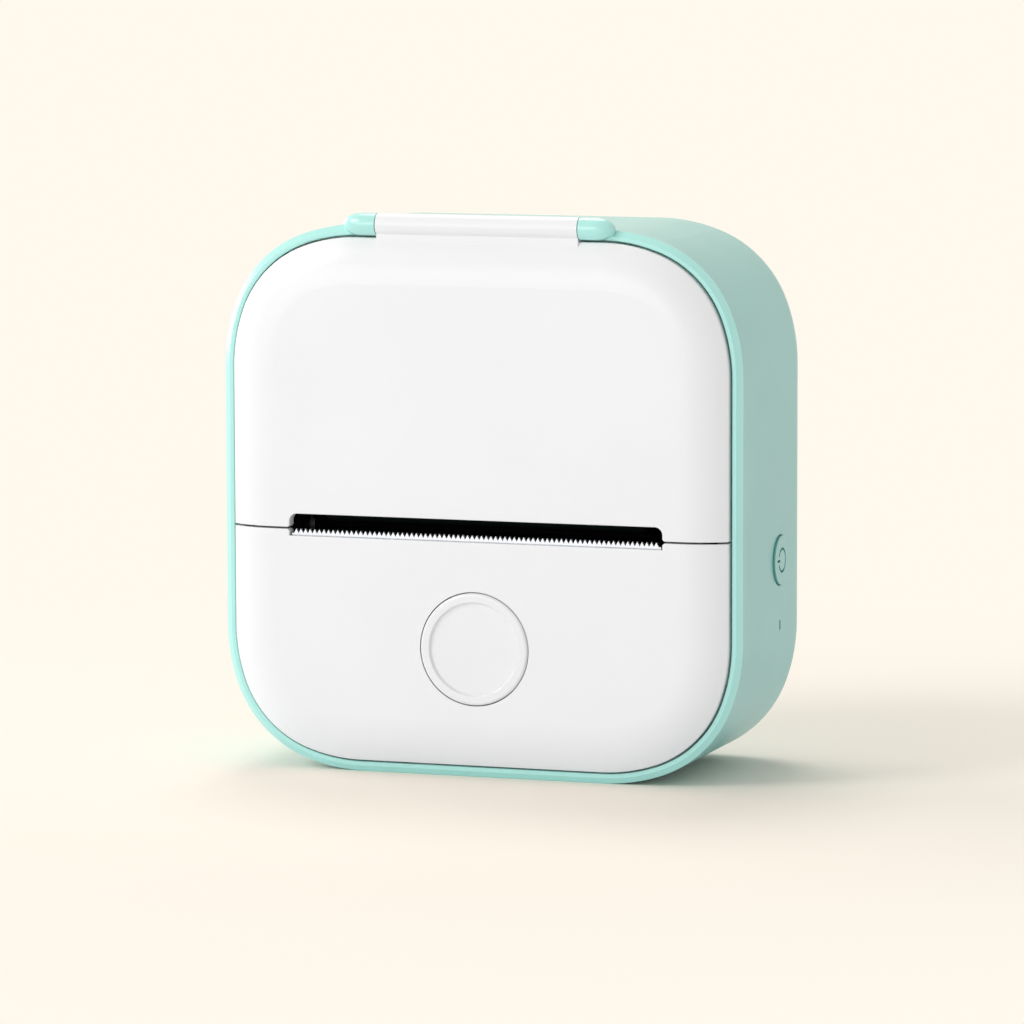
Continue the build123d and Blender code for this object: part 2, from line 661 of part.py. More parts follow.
def stepper_motor():
    flange_face = Pos(MOTOR_AXIS.X, MOTOR_AXIS.Y) * Circle(MOTOR_RADIUS)
    strap = Rectangle(2 * MOTOR_EAR, 2 * MOTOR_EAR_RADIUS)
    flange_face += Pos(MOTOR_AXIS.X, MOTOR_AXIS.Y) * Rot(0, 0, -45) * strap
    for ear in motor_ears():
        flange_face += Pos(ear.X, ear.Y) * Circle(MOTOR_EAR_RADIUS)
    face = -FRAME_INSIDE
    flange = slab(flange_face, face, face + 0.8)
    can = rod_x(MOTOR_RADIUS, face + 0.8, face + MOTOR_LENGTH, MOTOR_AXIS)
    can = chamfer(can.faces().sort_by(Axis.X)[-1].edges(), 0.5)
    motor = flange + can + rod_x(MOTOR_BOSS, face - 1.0, face, MOTOR_AXIS)
    motor -= rod_x(MOTOR_SHAFT + RUNNING, face - 2, face + 6, MOTOR_AXIS)
    for ear in motor_ears():
        motor -= rod_x(SCREW_RADIUS, face - 1, face + 1, ear)
    return motor


def motor_screws():
    """Two flat screws from outside the frame's left plate into the motor's flange."""
    screws = []
    for ear in motor_ears():
        head = rod_x(SCREW_HEAD, -FRAME_OUTSIDE - 0.4, -FRAME_OUTSIDE, ear)
        screws.append(head + rod_x(SCREW_RADIUS, -FRAME_OUTSIDE, -FRAME_INSIDE + 0.8, ear))
    return screws


def motor_shaft():
    end = WHEEL_PLANE + WHEEL_WIDTH + 0.1
    return rod_x(MOTOR_SHAFT, -end, -FRAME_INSIDE + 5.5, MOTOR_AXIS)


def motor_pinion():
    phase = MOTOR_MESH_ANGLE + 180 + 180 / MOTOR_TEETH
    pinion = spur_gear(MOTOR_TEETH, phase, MOTOR_AXIS, WHEEL_PLANE, WHEEL_WIDTH)
    return pinion - rod_x(MOTOR_SHAFT, -X_SIDE, 0, MOTOR_AXIS)


def head_point(along, down):
    return HEAD_LINE + HEAD_ALONG * along + HEAD_DOWN * down


def head_slab(along, down, half_width):
    """A plate of the head, between two values along the paper and two away from the platen."""
    corners = [head_point(along[i], down[j]) for i, j in ((0, 0), (1, 0), (1, 1), (0, 1))]
    face = make_face(Polyline(*[(p.X, p.Y) for p in corners], close=True))
    return slab(face, -half_width, half_width)


def spring_places():
    return [(side * HEAD_HALF / 2, head_point(HEAD_SPRING_ALONG, 0).X) for side in (-1, 1)]


def head_spring_top():
    return head_point(HEAD_SPRING_ALONG, HEAD_GAP + STRIP_THICKNESS + SINK_THICKNESS).Y - 1.8


def head_strip():
    """The ceramic strip with the heating line under the platen."""
    along = (-STRIP_LEAD, STRIP_LENGTH - STRIP_LEAD)
    return head_slab(along, (HEAD_GAP, HEAD_GAP + STRIP_THICKNESS), HEAD_HALF)


def head_driver_cover():
    """The rounded black coat over the driver chips, at the end of the strip."""
    start = STRIP_LENGTH - STRIP_LEAD - 2.4
    return head_slab((start, start + 2.2), (HEAD_GAP - 0.5, HEAD_GAP), HEAD_HALF - 2)


def head_sink():
    top = HEAD_GAP + STRIP_THICKNESS
    sink = head_slab((-STRIP_LEAD, SINK_LENGTH - STRIP_LEAD), (top, top + SINK_THICKNESS), HEAD_HALF)
    sink += rod_x(PIVOT_BARREL, -HEAD_HALF, HEAD_HALF, HEAD_AXIS)
    for x, y in spring_places():
        pad = rod_z(SPRING_SEAT_RADIUS, head_spring_top(), head_spring_top() + 4, x, y)
        sink += pad & head_slab((-5, SINK_LENGTH), (top + 1, top + 12), HEAD_HALF)
    return sink - rod_x(PIVOT_PIN + RUNNING, -HEAD_HALF - 1, HEAD_HALF + 1, HEAD_AXIS)


def head_pin():
    return rod_x(PIVOT_PIN, -FRAME_OUTSIDE, FRAME_OUTSIDE, HEAD_AXIS)


def coil(radius, wire, length, turns):
    """A helical spring along +Z, starting at the origin's height."""
    path = Helix(pitch=(length - 2 * wire) / turns, height=length - 2 * wire, radius=radius)
    return Pos(0, 0, wire) * sweep(Plane(origin=path @ 0, z_dir=path % 0) * Circle(wire), path=path)


def head_springs():
    low = head_spring_top() - HEAD_SPRING_LENGTH + TOUCH
    coil_length = HEAD_SPRING_LENGTH - 2 * TOUCH
    return [Pos(x, y, low) * coil(HEAD_SPRING_RADIUS, 0.25, coil_length, 5) for x, y in spring_places()]


def platen_notch():
    """The open seat in each frame plate where a platen bush comes to rest."""
    radius = BUSH_RADIUS + 2 * SLIDING
    face = Pos(Y_PLATEN, Z_PLATEN) * Circle(radius)
    front = FRAME_FRONT_Y - 1
    mouth = [(Y_PLATEN, Z_PLATEN - radius), (Y_PLATEN, Z_PLATEN + radius)]
    mouth += [(front, Z_PLATEN + radius + 1.5), (front, Z_PLATEN - radius)]
    return face + make_face(Polyline(*mouth, close=True))


def print_frame():
    """One pressed frame: two side plates, a floor, a bar at the top and two feet."""
    low, high = FRAME_FLOOR_Z, FRAME_TOP_Z
    middle = ((FRAME_FRONT_Y + FRAME_BACK_Y) / 2, (low + high) / 2)
    plate_face = Pos(*middle) * Rectangle(FRAME_BACK_Y - FRAME_FRONT_Y, high - low)
    plate_face -= platen_notch()
    front_cut = [(FRAME_FRONT_Y - 1, low - 1), (FRAME_FRONT_Y + 5.5, low - 1)]
    front_cut += [(FRAME_FRONT_Y + 2.5, low + 6.5), (FRAME_FRONT_Y - 1, low + 10)]
    plate_face -= make_face(Polyline(*front_cut, close=True))
    frame = mirrored(slab(plate_face, FRAME_INSIDE, FRAME_OUTSIDE))
    inside = (-FRAME_INSIDE, FRAME_INSIDE)
    frame += block(inside, (FRAME_FRONT_Y + 5, FRAME_BACK_Y), (low, low + FRAME_FLOOR))
    frame += block(inside, (FRAME_BACK_Y - 3.0, FRAME_BACK_Y), (high - 1.6, high))
    for x, y in spring_places():
        frame += rod_z(SPRING_SEAT_RADIUS, low, head_spring_top() - HEAD_SPRING_LENGTH, x, y)
    for side in (-1, 1):
        x_low, x_high = sorted((side * (FOOT_X - 4), side * FRAME_OUTSIDE))
        foot = block((x_low, x_high), (FRAME_BACK_Y - 1.2, FRAME_BACK_Y), (FOOT_Z - 3.5, low + FRAME_FLOOR))
        frame += foot - rod_y(SCREW_RADIUS + SLIDING, Y_CROWN, Y_BACK, side * FOOT_X, FOOT_Z)
    left = (-FRAME_OUTSIDE, -FRAME_INSIDE)
    frame -= rod_x(MOTOR_BOSS + TOUCH, *left, MOTOR_AXIS)
    frame -= rod_x(AXLE_RADIUS, *left, REDUCTION_AXIS)
    for ear in motor_ears():
        frame -= rod_x(SCREW_RADIUS, *left, ear)
    frame -= rod_x(PIVOT_PIN, -FRAME_OUTSIDE, FRAME_OUTSIDE, HEAD_AXIS)
    frame -= rod_x(LATCH_PIN, -FRAME_OUTSIDE, FRAME_OUTSIDE, LATCH_AXIS)
    return frame


def frame_screws():
    return [screw(FRAME_BACK_Y - 1.2, side * FOOT_X, FOOT_Z, SCREW_LENGTH) for side in (-1, 1)]


def latch_pivots():
    pivot = rod_x(LATCH_PIN, FRAME_INSIDE, LATCH_OUTSIDE + 0.3, LATCH_AXIS)
    return mirrored(pivot)


def hook_tip():
    """The middle of the hook's blunt end, HOOK_CLEAR below the catch on the cover."""
    y = CATCH_BACK_Y - CATCH_THICKNESS / 2
    return Vector(y, SPLIT_Z + CATCH_ABOVE_SPLIT - HOOK_CLEAR)


def latch_lever():
    """Two arms outside the frame and a bar across the front, with a pad behind the button."""
    bar_y = Y_LEDGE_BACK + 0.3
    tip = hook_tip()
    pivot = LATCH_AXIS
    arm = [(pivot.X - 1.4, pivot.Y + 1.2), (tip.X + 1.2, tip.Y - 1.2), (tip.X + 0.5, tip.Y)]
    arm += [(tip.X - 0.9, tip.Y), (tip.X - 1.5, tip.Y - 2.2), (pivot.X - 1.4, pivot.Y - 1.4)]
    lower = [(pivot.X - 1.0, pivot.Y + 1.4), (pivot.X + 0.6, pivot.Y - 1.8)]
    lower += [(bar_y, BUTTON_Z - 1.5), (bar_y, BUTTON_Z + 2.0)]
    face = make_face(Polyline(*arm, close=True)) + make_face(Polyline(*lower, close=True))
    face += Pos(pivot.X, pivot.Y) * Circle(LATCH_HUB)
    face -= Pos(pivot.X, pivot.Y) * Circle(LATCH_PIN + RUNNING)
    lever = mirrored(slab(face, LATCH_INSIDE, LATCH_OUTSIDE))
    lever += block((-LATCH_OUTSIDE, LATCH_OUTSIDE), (bar_y, bar_y + LATCH_BAR),
                   (BUTTON_Z - 1.5, BUTTON_Z + 1.5))
    return lever + block((-4, 4), (bar_y, bar_y + LATCH_BAR), (BUTTON_Z - 3.5, BUTTON_Z + 3.5))


def latch_spring():
    """A torsion spring round the end of the right pivot."""
    body = coil(LATCH_PIN + 0.75, 0.2, 1.3, 3)
    return Pos(LATCH_OUTSIDE + 0.05, LATCH_AXIS.X, LATCH_AXIS.Y) * Rot(0, 90, 0) * body


def latch_spring_post():
    """The screw-on stud that keeps the torsion spring on its pivot."""
    stud = rod_x(LATCH_PIN, LATCH_OUTSIDE + 0.3, LATCH_OUTSIDE + 1.5, LATCH_AXIS)
    return stud + rod_x(LATCH_PIN + 1.1, LATCH_OUTSIDE + 1.4, LATCH_OUTSIDE + 1.8, LATCH_AXIS)


def release_button():
    """A cap with a raised ring, a flange behind the panel and a stem that reaches the lever."""
    back = Y_BUTTON + BUTTON_CAP
    cap = rod_y(BUTTON_RADIUS, Y_BUTTON, Y_PANEL_INNER + SLIDING, 0, BUTTON_Z)
    cap = fillet(cap.faces().sort_by(Axis.Y)[0].edges(), BUTTON_EDGE_ROUND)
    dish = loft([front_plane(Y_BUTTON) * Pos(0, BUTTON_Z) * Circle(BUTTON_DISH_RADIUS),
                 front_plane(Y_BUTTON + BUTTON_DISH_DEPTH) * Pos(0, BUTTON_Z)
                 * Circle(BUTTON_DISH_RADIUS - BUTTON_DISH_BEVEL)])
    cap -= dish
    flange_y = Y_PANEL_INNER + SLIDING
    cap += rod_y(BUTTON_RADIUS + BUTTON_FLANGE, flange_y, flange_y + 0.8, 0, BUTTON_Z)
    cap -= rod_y(BUTTON_RADIUS - 1.2, back, Y_LEDGE, 0, BUTTON_Z)
    return cap + rod_y(BUTTON_STEM_RADIUS, back, Y_LEDGE_BACK, 0, BUTTON_Z)


def button_spring():
    length = Y_LEDGE - (Y_BUTTON + BUTTON_CAP) - 0.04
    spring = coil(BUTTON_STEM_RADIUS + 1.0, 0.2, length, 3)
    return Pos(0, Y_LEDGE - 0.02, BUTTON_Z) * Rot(90, 0, 0) * spring


def lower_front_panel():
    below = block((-X_SIDE, X_SIDE), (Y_CROWN - 1, Y_LEDGE), (0, SPLIT_Z - SPLIT_GAP / 2))
    room_high = SPLIT_Z - SPLIT_GAP / 2 - PANEL_WALL
    room = crowned_block(PANEL_WALL, Y_CROWN + CROWN_RADIUS + 1)
    room &= block((-X_SIDE, X_SIDE), (Y_CROWN, Y_LEDGE + 1), (0, room_high))
    panel = soften_seam((panel_blank() & below) - room - slot_space(), SPLIT_Z - SPLIT_GAP / 2)
    panel -= rod_y(BUTTON_RADIUS + SLIDING, Y_CROWN - 1, Y_LEDGE, 0, BUTTON_Z)
    panel -= block((-X_SIDE + PANEL_INSET + PANEL_WALL, X_SIDE - PANEL_INSET - PANEL_WALL),
                   (Y_PANEL_INNER, Y_LEDGE), (room_high, SPLIT_Z))
    blade = (-SLOT_WIDTH / 2, SLOT_WIDTH / 2)
    return panel - block(blade, (Y_TEAR - 0.1, Y_PANEL_INNER), (SLOT_BOTTOM - TEAR_BODY, SLOT_TOP))


def tear_bar():
    """A strip with a row of triangular teeth on top, set back below them so that a thin gap shows."""
    half = SLOT_WIDTH / 2 - TEAR_END_GAP
    count = int(2 * half / TOOTH_PITCH)
    start = -count * TOOTH_PITCH / 2
    root = SLOT_BOTTOM + TEAR_LIFT + TEAR_FACE
    points = [(-half, SLOT_BOTTOM - TEAR_BODY), (-half, root)]
    for tooth in range(count):
        left = start + tooth * TOOTH_PITCH
        points += [(left, root), (left + TOOTH_PITCH / 2, root + TOOTH_HEIGHT)]
    points += [(-start, root), (half, root), (half, SLOT_BOTTOM - TEAR_BODY)]
    strip = prism(make_face(Polyline(*points, close=True)), Y_TEAR, Y_TEAR + TEAR_THICKNESS)
    below = (SLOT_BOTTOM - TEAR_BODY - 1, SLOT_BOTTOM + TEAR_LIFT)
    return strip - block((-half, half), (Y_TEAR, Y_TEAR + TEAR_STEP), below)


def exit_guide():
    """The dark guide that leads the paper from the head to the slot."""
    front = Y_TEAR + TEAR_THICKNESS + TOUCH
    back = head_point(-STRIP_LEAD, HEAD_GAP).X - 0.9
    top = Z_PAPER - 1.5
    face = make_face(Polyline((front, top - 1.6), (back - 1.5, top - 1.6), (back, top - 0.8), (back, top),
                              (front, top + 0.15), close=True))
    half = SLOT_WIDTH / 2 - SLIDING
    return slab(face, -half, half)


def bay_half():
    return PAPER_WIDTH / 2 + BAY_SIDE_GAP


def bay_tab_x():
    return bay_half() + BAY_WALL + POST_RADIUS + 0.6


def paper_bay():
    """The tray that the roll drops into: side walls, a back, a ceiling and a floor, open in front."""
    half = bay_half()
    top = BODY_HEIGHT - BAY_TOP_INSET
    front = Y_LEDGE_BACK + 0.3
    back = Y_BACK - BAY_TOP_INSET
    outer = block((-half - BAY_WALL, half + BAY_WALL), (front, back), (BAY_FLOOR_Z, top))
    outer &= rounded_case(BAY_TOP_INSET)
    room = block((-half, half), (front - 1, back), (BAY_FLOOR_Z + BAY_WALL, top))
    room &= rounded_case(BAY_TOP_INSET + BAY_WALL)
    bay = outer - room
    bay -= block((-half, half), (front - 1, BAY_FLOOR_START_Y), (BAY_FLOOR_Z - 1, BAY_FLOOR_Z + BAY_WALL + 1))
    bay -= block((-half - 2, half + 2), (front - 1, Y_PLATEN + 6), (BAY_FLOOR_Z - 1, BAY_FLOOR_Z + 4))
    tab_end = bay_tab_x() + POST_RADIUS
    tab = block((half + BAY_WALL - 0.2, tab_end), (BAY_TAB_Y, BAY_TAB_Y + BAY_WALL),
                (BAY_TAB_Z - POST_RADIUS, BAY_TAB_Z + POST_RADIUS))
    tab -= rod_y(SCREW_RADIUS + SLIDING, Y_CROWN, Y_BACK, bay_tab_x(), BAY_TAB_Z)
    bay += mirrored(tab)
    sensor_window = (BAY_FLOOR_START_Y - 1, SENSOR_Y[1] + 0.3)
    return bay - block(SENSOR_X, sensor_window, (BAY_FLOOR_Z - 1, BAY_FLOOR_Z + 3))


def bay_screws():
    return [screw(BAY_TAB_Y, side * bay_tab_x(), BAY_TAB_Z) for side in (-1, 1)]


def paper_sensor():
    return block((SENSOR_X[0] + 0.3, SENSOR_X[1] - 0.3), SENSOR_Y,
                 (FRAME_TOP_Z, FRAME_TOP_Z + SENSOR_HEIGHT))


def board_left():
    return -X_INNER + 1.5


def board_right():
    return X_INNER - SIDE_BOARD_X - BOARD - 0.8


def board_screw_places():
    return [(board_left() + 3.3, BOARD_HIGH_Z - 3), (board_right() - 1.5, BOARD_HIGH_Z - 3)]


def main_board():
    board = block((board_left(), board_right()), (BOARD_Y, BOARD_Y + BOARD), (BOARD_LOW_Z, BOARD_HIGH_Z))
    for x, z in board_screw_places():
        board -= rod_y(SCREW_RADIUS + SLIDING, Y_CROWN, Y_BACK, x, z)
    for side in (-1, 1):
        board -= rod_y(POST_RADIUS + 2 * SLIDING, Y_CROWN, Y_BACK, side * FOOT_X, FOOT_Z)
    return board


def board_screws():
    return [screw(BOARD_Y, x, z) for x, z in board_screw_places()]


def board_parts(parts):
    """Boxes on the board's front face: middle x, middle z, width, height and how far each stands out."""
    return [block((x - w / 2, x + w / 2), (BOARD_Y - stand, BOARD_Y), (z - h / 2, z + h / 2))
            for x, z, w, h, stand in parts]


def board_chips():
    return board_parts([(14, 26, 7, 7, 1.0), (4, 23, 4, 5, 0.9), (22, 33, 4.5, 4.5, 0.9),
                        (-3, 40, 5, 3.2, 0.9)])


def board_sockets():
    """The head's and the motor's sockets in front, and the battery's on the back of the board."""
    sockets = board_parts([(4, HEAD_SOCKET_Z, 22, 3, SOCKET_STAND),
                           (MOTOR_SOCKET_X, MOTOR_SOCKET_Z, 5, 3.4, SOCKET_STAND)])
    back = BOARD_Y + BOARD
    sockets.append(block((BATTERY_SOCKET_X - 2, BATTERY_SOCKET_X + 2), (back, back + SOCKET_STAND),
                         (BATTERY_SOCKET_Z - 1.2, BATTERY_SOCKET_Z + 1.2)))
    return sockets


def usb_y():
    return BOARD_Y - USB_THICKNESS / 2


def usb_socket():
    """A metal shell with a flat tongue in its mouth, at the board's left edge."""
    mouth = -X_INNER + 0.2
    outer = Pos(usb_y(), USB_Z) * RectangleRounded(USB_THICKNESS, USB_WIDTH, USB_ROUND)
    inner = RectangleRounded(USB_THICKNESS - 2 * USB_SHELL, USB_WIDTH - 2 * USB_SHELL, USB_ROUND - USB_SHELL)
    inner = Pos(usb_y(), USB_Z) * inner
    shell = slab(outer, mouth, mouth + USB_DEPTH) - slab(inner, mouth - 1, mouth + USB_DEPTH - 1)
    tongue = Pos(usb_y(), USB_Z) * Rectangle(0.7, USB_WIDTH - 2.4)
    return shell + slab(tongue, mouth + 1, mouth + USB_DEPTH - 0.5)


def reset_switch():
    x = board_left() + 0.3
    body = block((x, x + 3.4), (BOARD_Y - 1.8, BOARD_Y), (RESET_Z - 1.5, RESET_Z + 1.5))
    return body + rod_x(RESET_PIN, x - RESET_PIN, x, Vector(BOARD_Y - RESET_PIN_FRONT, RESET_Z))


def side_screw_places():
    return [(POWER_Y + side * 3.2, LAMP_Z + 2.4) for side in (-1, 1)]


def side_board_face():
    return X_INNER - SIDE_BOARD_X


def side_board():
    face = side_board_face()
    board = block((face - BOARD, face), (POWER_Y - 5.2, POWER_Y + 5.3), (LAMP_Z - 3.5, POWER_Z + 4))
    for y, z in side_screw_places():
        board -= rod_x(SCREW_RADIUS - 0.2, face - BOARD, face, Vector(y, z))
    return board


def side_board_screws():
    screws = []
    for y, z in side_screw_places():
        face = side_board_face()
        head = rod_x(SCREW_HEAD - 0.3, face - BOARD - 0.7, face - BOARD, Vector(y, z))
        screws.append(head + rod_x(SCREW_RADIUS - 0.2, face - BOARD, face + 2.4, Vector(y, z)))
    return screws


def power_button():
    """A round cap, a little proud of the side, with its power symbol cut in and a foot towards the switch."""
    place = Vector(POWER_Y, POWER_Z)
    front = X_SIDE + POWER_PROUD
    cap = rod_x(POWER_RADIUS, X_INNER + 0.4, front, place)
    cap = fillet(cap.faces().sort_by(Axis.X)[-1].edges(), 0.2)
    cap += rod_x(POWER_RADIUS + 0.7, X_INNER - 0.7, X_INNER - SLIDING, place)
    cap += rod_x(POWER_RADIUS - 0.6, X_INNER - 0.7, X_INNER + 0.4, place)
    cap += rod_x(1.0, power_switch_tip() + 0.06, X_INNER - 0.7, place)
    ring = Circle(SYMBOL_RADIUS + SYMBOL_STROKE / 2) - Circle(SYMBOL_RADIUS - SYMBOL_STROKE / 2)
    ring -= Pos(-SYMBOL_RADIUS, 0) * Rectangle(1.6, 1.25)
    bar = Pos(-SYMBOL_RADIUS - 0.05, 0) * Rectangle(1.5, SYMBOL_STROKE)
    symbol = Pos(POWER_Y, POWER_Z) * (ring + bar)
    return cap - slab(symbol, front - SYMBOL_DEPTH, front + 0.1)


def power_switch_tip():
    return side_board_face() + 1.7


def power_switch():
    face = side_board_face()
    body = block((face, face + 1.1), (POWER_Y - 2, POWER_Y + 2), (POWER_Z - 2, POWER_Z + 2))
    return body + rod_x(0.9, face + 1.1, power_switch_tip() - POWER_TRAVEL, Vector(POWER_Y, POWER_Z))


def led_window():
    stem = Pos(POWER_Y, LAMP_Z) * Rectangle(LAMP_WIDTH - 2 * TOUCH, LAMP_HEIGHT - 2 * TOUCH)
    flange = Pos(POWER_Y, LAMP_Z) * Rectangle(LAMP_WIDTH + 1.2, LAMP_HEIGHT + 1.2)
    return slab(stem, X_INNER - 0.6, X_SIDE - 0.1) + slab(flange, X_INNER - 0.8, X_INNER - TOUCH)


def status_led():
    face = side_board_face()
    return block((face, face + 0.8), (POWER_Y - 0.5, POWER_Y + 0.5), (LAMP_Z - 0.8, LAMP_Z + 0.8))


def battery_pad():
    width, _, height = BATTERY_SIZE
    return block((-width / 2 + 3, width / 2 - 3), (Y_INNER_BACK - PAD_THICKNESS, Y_INNER_BACK),
                 (BATTERY_LOW_Z + 4, BATTERY_LOW_Z + height - 4))


def battery_pack():
    width, depth, height = BATTERY_SIZE
    y_back = Y_INNER_BACK - PAD_THICKNESS
    pack = block((-width / 2, width / 2), (y_back - depth, y_back), (BATTERY_LOW_Z, BATTERY_LOW_Z + height))
    return fillet(pack.edges().filter_by(Axis.Z), 2.4)


def wire(points, radius):
    """A round wire along straight runs joined by arcs as large as the runs allow."""
    places = [Vector(*point) for point in points]
    runs = [(b - a) for a, b in zip(places, places[1:])]
    radii = []
    for before, after in zip(runs, runs[1:]):
        turn = math.radians(before.get_angle(after))
        radii.append(0.45 * min(before.length, after.length) / math.tan(turn / 2))
    path = FilletPolyline(*points, radius=radii)
    section = Plane(origin=path @ 0, z_dir=path % 0) * Circle(radius)
    tube = sweep(section, path=path)
    print("wire", round(path.length, 1), "radii", [round(r, 2) for r in radii],
          "volume ratio", round(tube.volume / (path.length * math.pi * radius ** 2), 4))
    return tube


def battery_lead():
    """Two wires from the top of the battery to the socket on the back of the board."""
    z = BATTERY_LOW_Z + BATTERY_SIZE[2]
    y = Y_INNER_BACK - PAD_THICKNESS - BATTERY_SIZE[1] / 2
    end = BOARD_Y + BOARD + SOCKET_STAND
    wires = []
    for x in (BATTERY_SOCKET_X - LEAD_SPACING / 2, BATTERY_SOCKET_X + LEAD_SPACING / 2):
        wires.append(wire([(x, y, z), (x, y, BATTERY_SOCKET_Z), (x, end, BATTERY_SOCKET_Z)], LEAD_RADIUS))
    return wires


def head_flex():
    """The flat cable from the back of the head to its socket on the board."""
    start = HEAD_AXIS + Vector(PIVOT_BARREL + 0.3, -0.4)
    end = Vector(BOARD_Y - SOCKET_STAND, HEAD_SOCKET_Z)
    top = [(start.X, start.Y), (start.X + 1.2, start.Y - 1.8), (end.X, end.Y + 0.15)]
    under = [(end.X, end.Y - 0.15), (start.X + 0.9, start.Y - 1.95), (start.X - 0.2, start.Y - 0.25)]
    return slab(make_face(Polyline(*(top + under), close=True)), -5, 13)


def motor_lead():
    """Four wires, drawn as one ribbon, from the motor's back to the board."""
    x = -FRAME_INSIDE + MOTOR_LENGTH
    start = (x, MOTOR_AXIS.X + 1, MOTOR_AXIS.Y - 4)
    end = (MOTOR_SOCKET_X, BOARD_Y - SOCKET_STAND, MOTOR_SOCKET_Z)
    points = [start, (x + 2.4, start[1], start[2]), (end[0], end[1] - 2.6, end[2]), end]
    return wire(points, RIBBON_RADIUS)


NODES = {
    "rear_housing": rear_housing,
    "front_bezel": front_bezel,
    "bezel_screws": bezel_screws,
    "hinge_pins": hinge_pins,
    "top_cover": top_cover,
    "lower_front_panel": lower_front_panel,
    "tear_bar": tear_bar,
    "exit_guide": exit_guide,
    "release_button": release_button,
    "button_spring": button_spring,
    "latch_lever": latch_lever,
    "latch_pivots": latch_pivots,
    "latch_spring": latch_spring,
    "latch_spring_post": latch_spring_post,
    "power_button": power_button,
    "power_switch": power_switch,
    "led_window": led_window,
    "status_led": status_led,
    "side_board": side_board,
    "side_board_screws": side_board_screws,
    "paper_bay": paper_bay,
    "bay_screws": bay_screws,
    "paper_sensor": paper_sensor,
    "print_frame": print_frame,
    "frame_screws": frame_screws,
    "platen_bracket": platen_bracket,
    "bracket_screws": bracket_screws,
    "platen_bushes": platen_bushes,
    "platen_shaft": platen_shaft,
    "platen_rubber": platen_rubber,
    "platen_gear": platen_gear,
    "reduction_gear": reduction_gear,
    "gear_axle": gear_axle,
    "gear_clip": gear_clip,
    "stepper_motor": stepper_motor,
    "motor_screws": motor_screws,
    "motor_shaft": motor_shaft,
    "motor_pinion": motor_pinion,
    "motor_lead": motor_lead,
    "head_strip": head_strip,
    "head_driver_cover": head_driver_cover,
    "head_sink": head_sink,
    "head_pin": head_pin,
    "head_springs": head_springs,
    "head_flex": head_flex,
    "main_board": main_board,
    "board_screws": board_screws,
    "board_chips": board_chips,
    "board_sockets": board_sockets,
    "usb_socket": usb_socket,
    "reset_switch": reset_switch,
    "battery_pack": battery_pack,
    "battery_pad": battery_pad,
    "battery_lead": battery_lead,
}


def write_parts():
    os.makedirs("parts", exist_ok=True)
    for name, make in NODES.items():
        made = make()
        solids = made if isinstance(made, list) else [made]
        flat = [solid for shape in solids for solid in shape.solids()]
        shape = flat[0] if len(flat) == 1 else Compound(children=flat)
        export_step(shape, "parts/" + name + ".step")


write_parts()
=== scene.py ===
import json
import math

import bpy
from mathutils import Matrix, Vector


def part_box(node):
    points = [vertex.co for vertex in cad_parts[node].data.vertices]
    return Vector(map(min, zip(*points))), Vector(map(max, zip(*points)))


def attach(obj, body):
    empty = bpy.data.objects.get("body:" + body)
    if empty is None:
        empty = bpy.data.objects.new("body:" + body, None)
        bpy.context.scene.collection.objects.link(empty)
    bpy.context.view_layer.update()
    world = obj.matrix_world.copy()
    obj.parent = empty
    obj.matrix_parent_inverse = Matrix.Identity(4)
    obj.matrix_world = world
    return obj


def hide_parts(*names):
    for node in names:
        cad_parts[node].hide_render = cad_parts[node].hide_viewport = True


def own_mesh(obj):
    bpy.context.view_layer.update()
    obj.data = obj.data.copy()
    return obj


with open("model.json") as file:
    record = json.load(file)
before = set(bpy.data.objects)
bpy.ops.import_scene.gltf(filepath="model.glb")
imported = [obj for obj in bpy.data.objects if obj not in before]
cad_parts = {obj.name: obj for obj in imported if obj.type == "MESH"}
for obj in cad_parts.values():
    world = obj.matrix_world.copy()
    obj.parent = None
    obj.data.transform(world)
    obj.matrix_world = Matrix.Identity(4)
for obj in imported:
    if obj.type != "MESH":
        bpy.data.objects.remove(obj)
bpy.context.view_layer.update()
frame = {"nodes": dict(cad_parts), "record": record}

MM = 0.001


def srgb(*levels):
    """Linear values from 0-255 screen values."""
    return tuple((v / 255 / 12.92) if v <= 10 else ((v / 255 + 0.055) / 1.055) ** 2.4 for v in levels)


# Camera, in radians, metres and pixels of the photograph

CAMERA_PLACE = Vector((293.89, -851.56, 146.05)) * MM
CAMERA_YAW = 0.33263
CAMERA_PITCH = 0.11830
CAMERA_ROLL = -0.002848
FOCAL_PIXELS = 5880.56
PHOTO_PIXELS = 1024
SENSOR_WIDTH = 36
NEAREST_SEEN = 0.01
FARTHEST_SEEN = 100

# Springs, in metres

MERGE_DISTANCE = 0.002 * MM

# Floor, background and lamps

CREAM = srgb(255, 249, 237)
FLOOR_SEEN = srgb(248, 239, 227)
FLOOR_BOUNCE = srgb(238, 238, 240)
FLOOR_SIZE = 40
FLOOR_BELOW = 0.02 * MM
SHADOW_REACH = 0.07
CREAM_REACH = 0.2
WORLD_LIGHT = 0.58
LAMP_TARGET = (0, 0, 0.04)
LAMPS = (
    {"name": "key_lamp", "place": (-1.6, -1.5, 1.4), "size": 1.2, "power": 20},
    {"name": "top_lamp", "place": (-0.2, 0.45, 1.1), "size": 0.5, "power": 3.5},
    {"name": "left_lamp", "place": (-1.2, 0.3, 0.35), "size": 0.9, "power": 7},
    {"name": "low_lamp", "place": (-0.8, -2.2, 0.3), "size": 1.4, "power": 9.5},
)
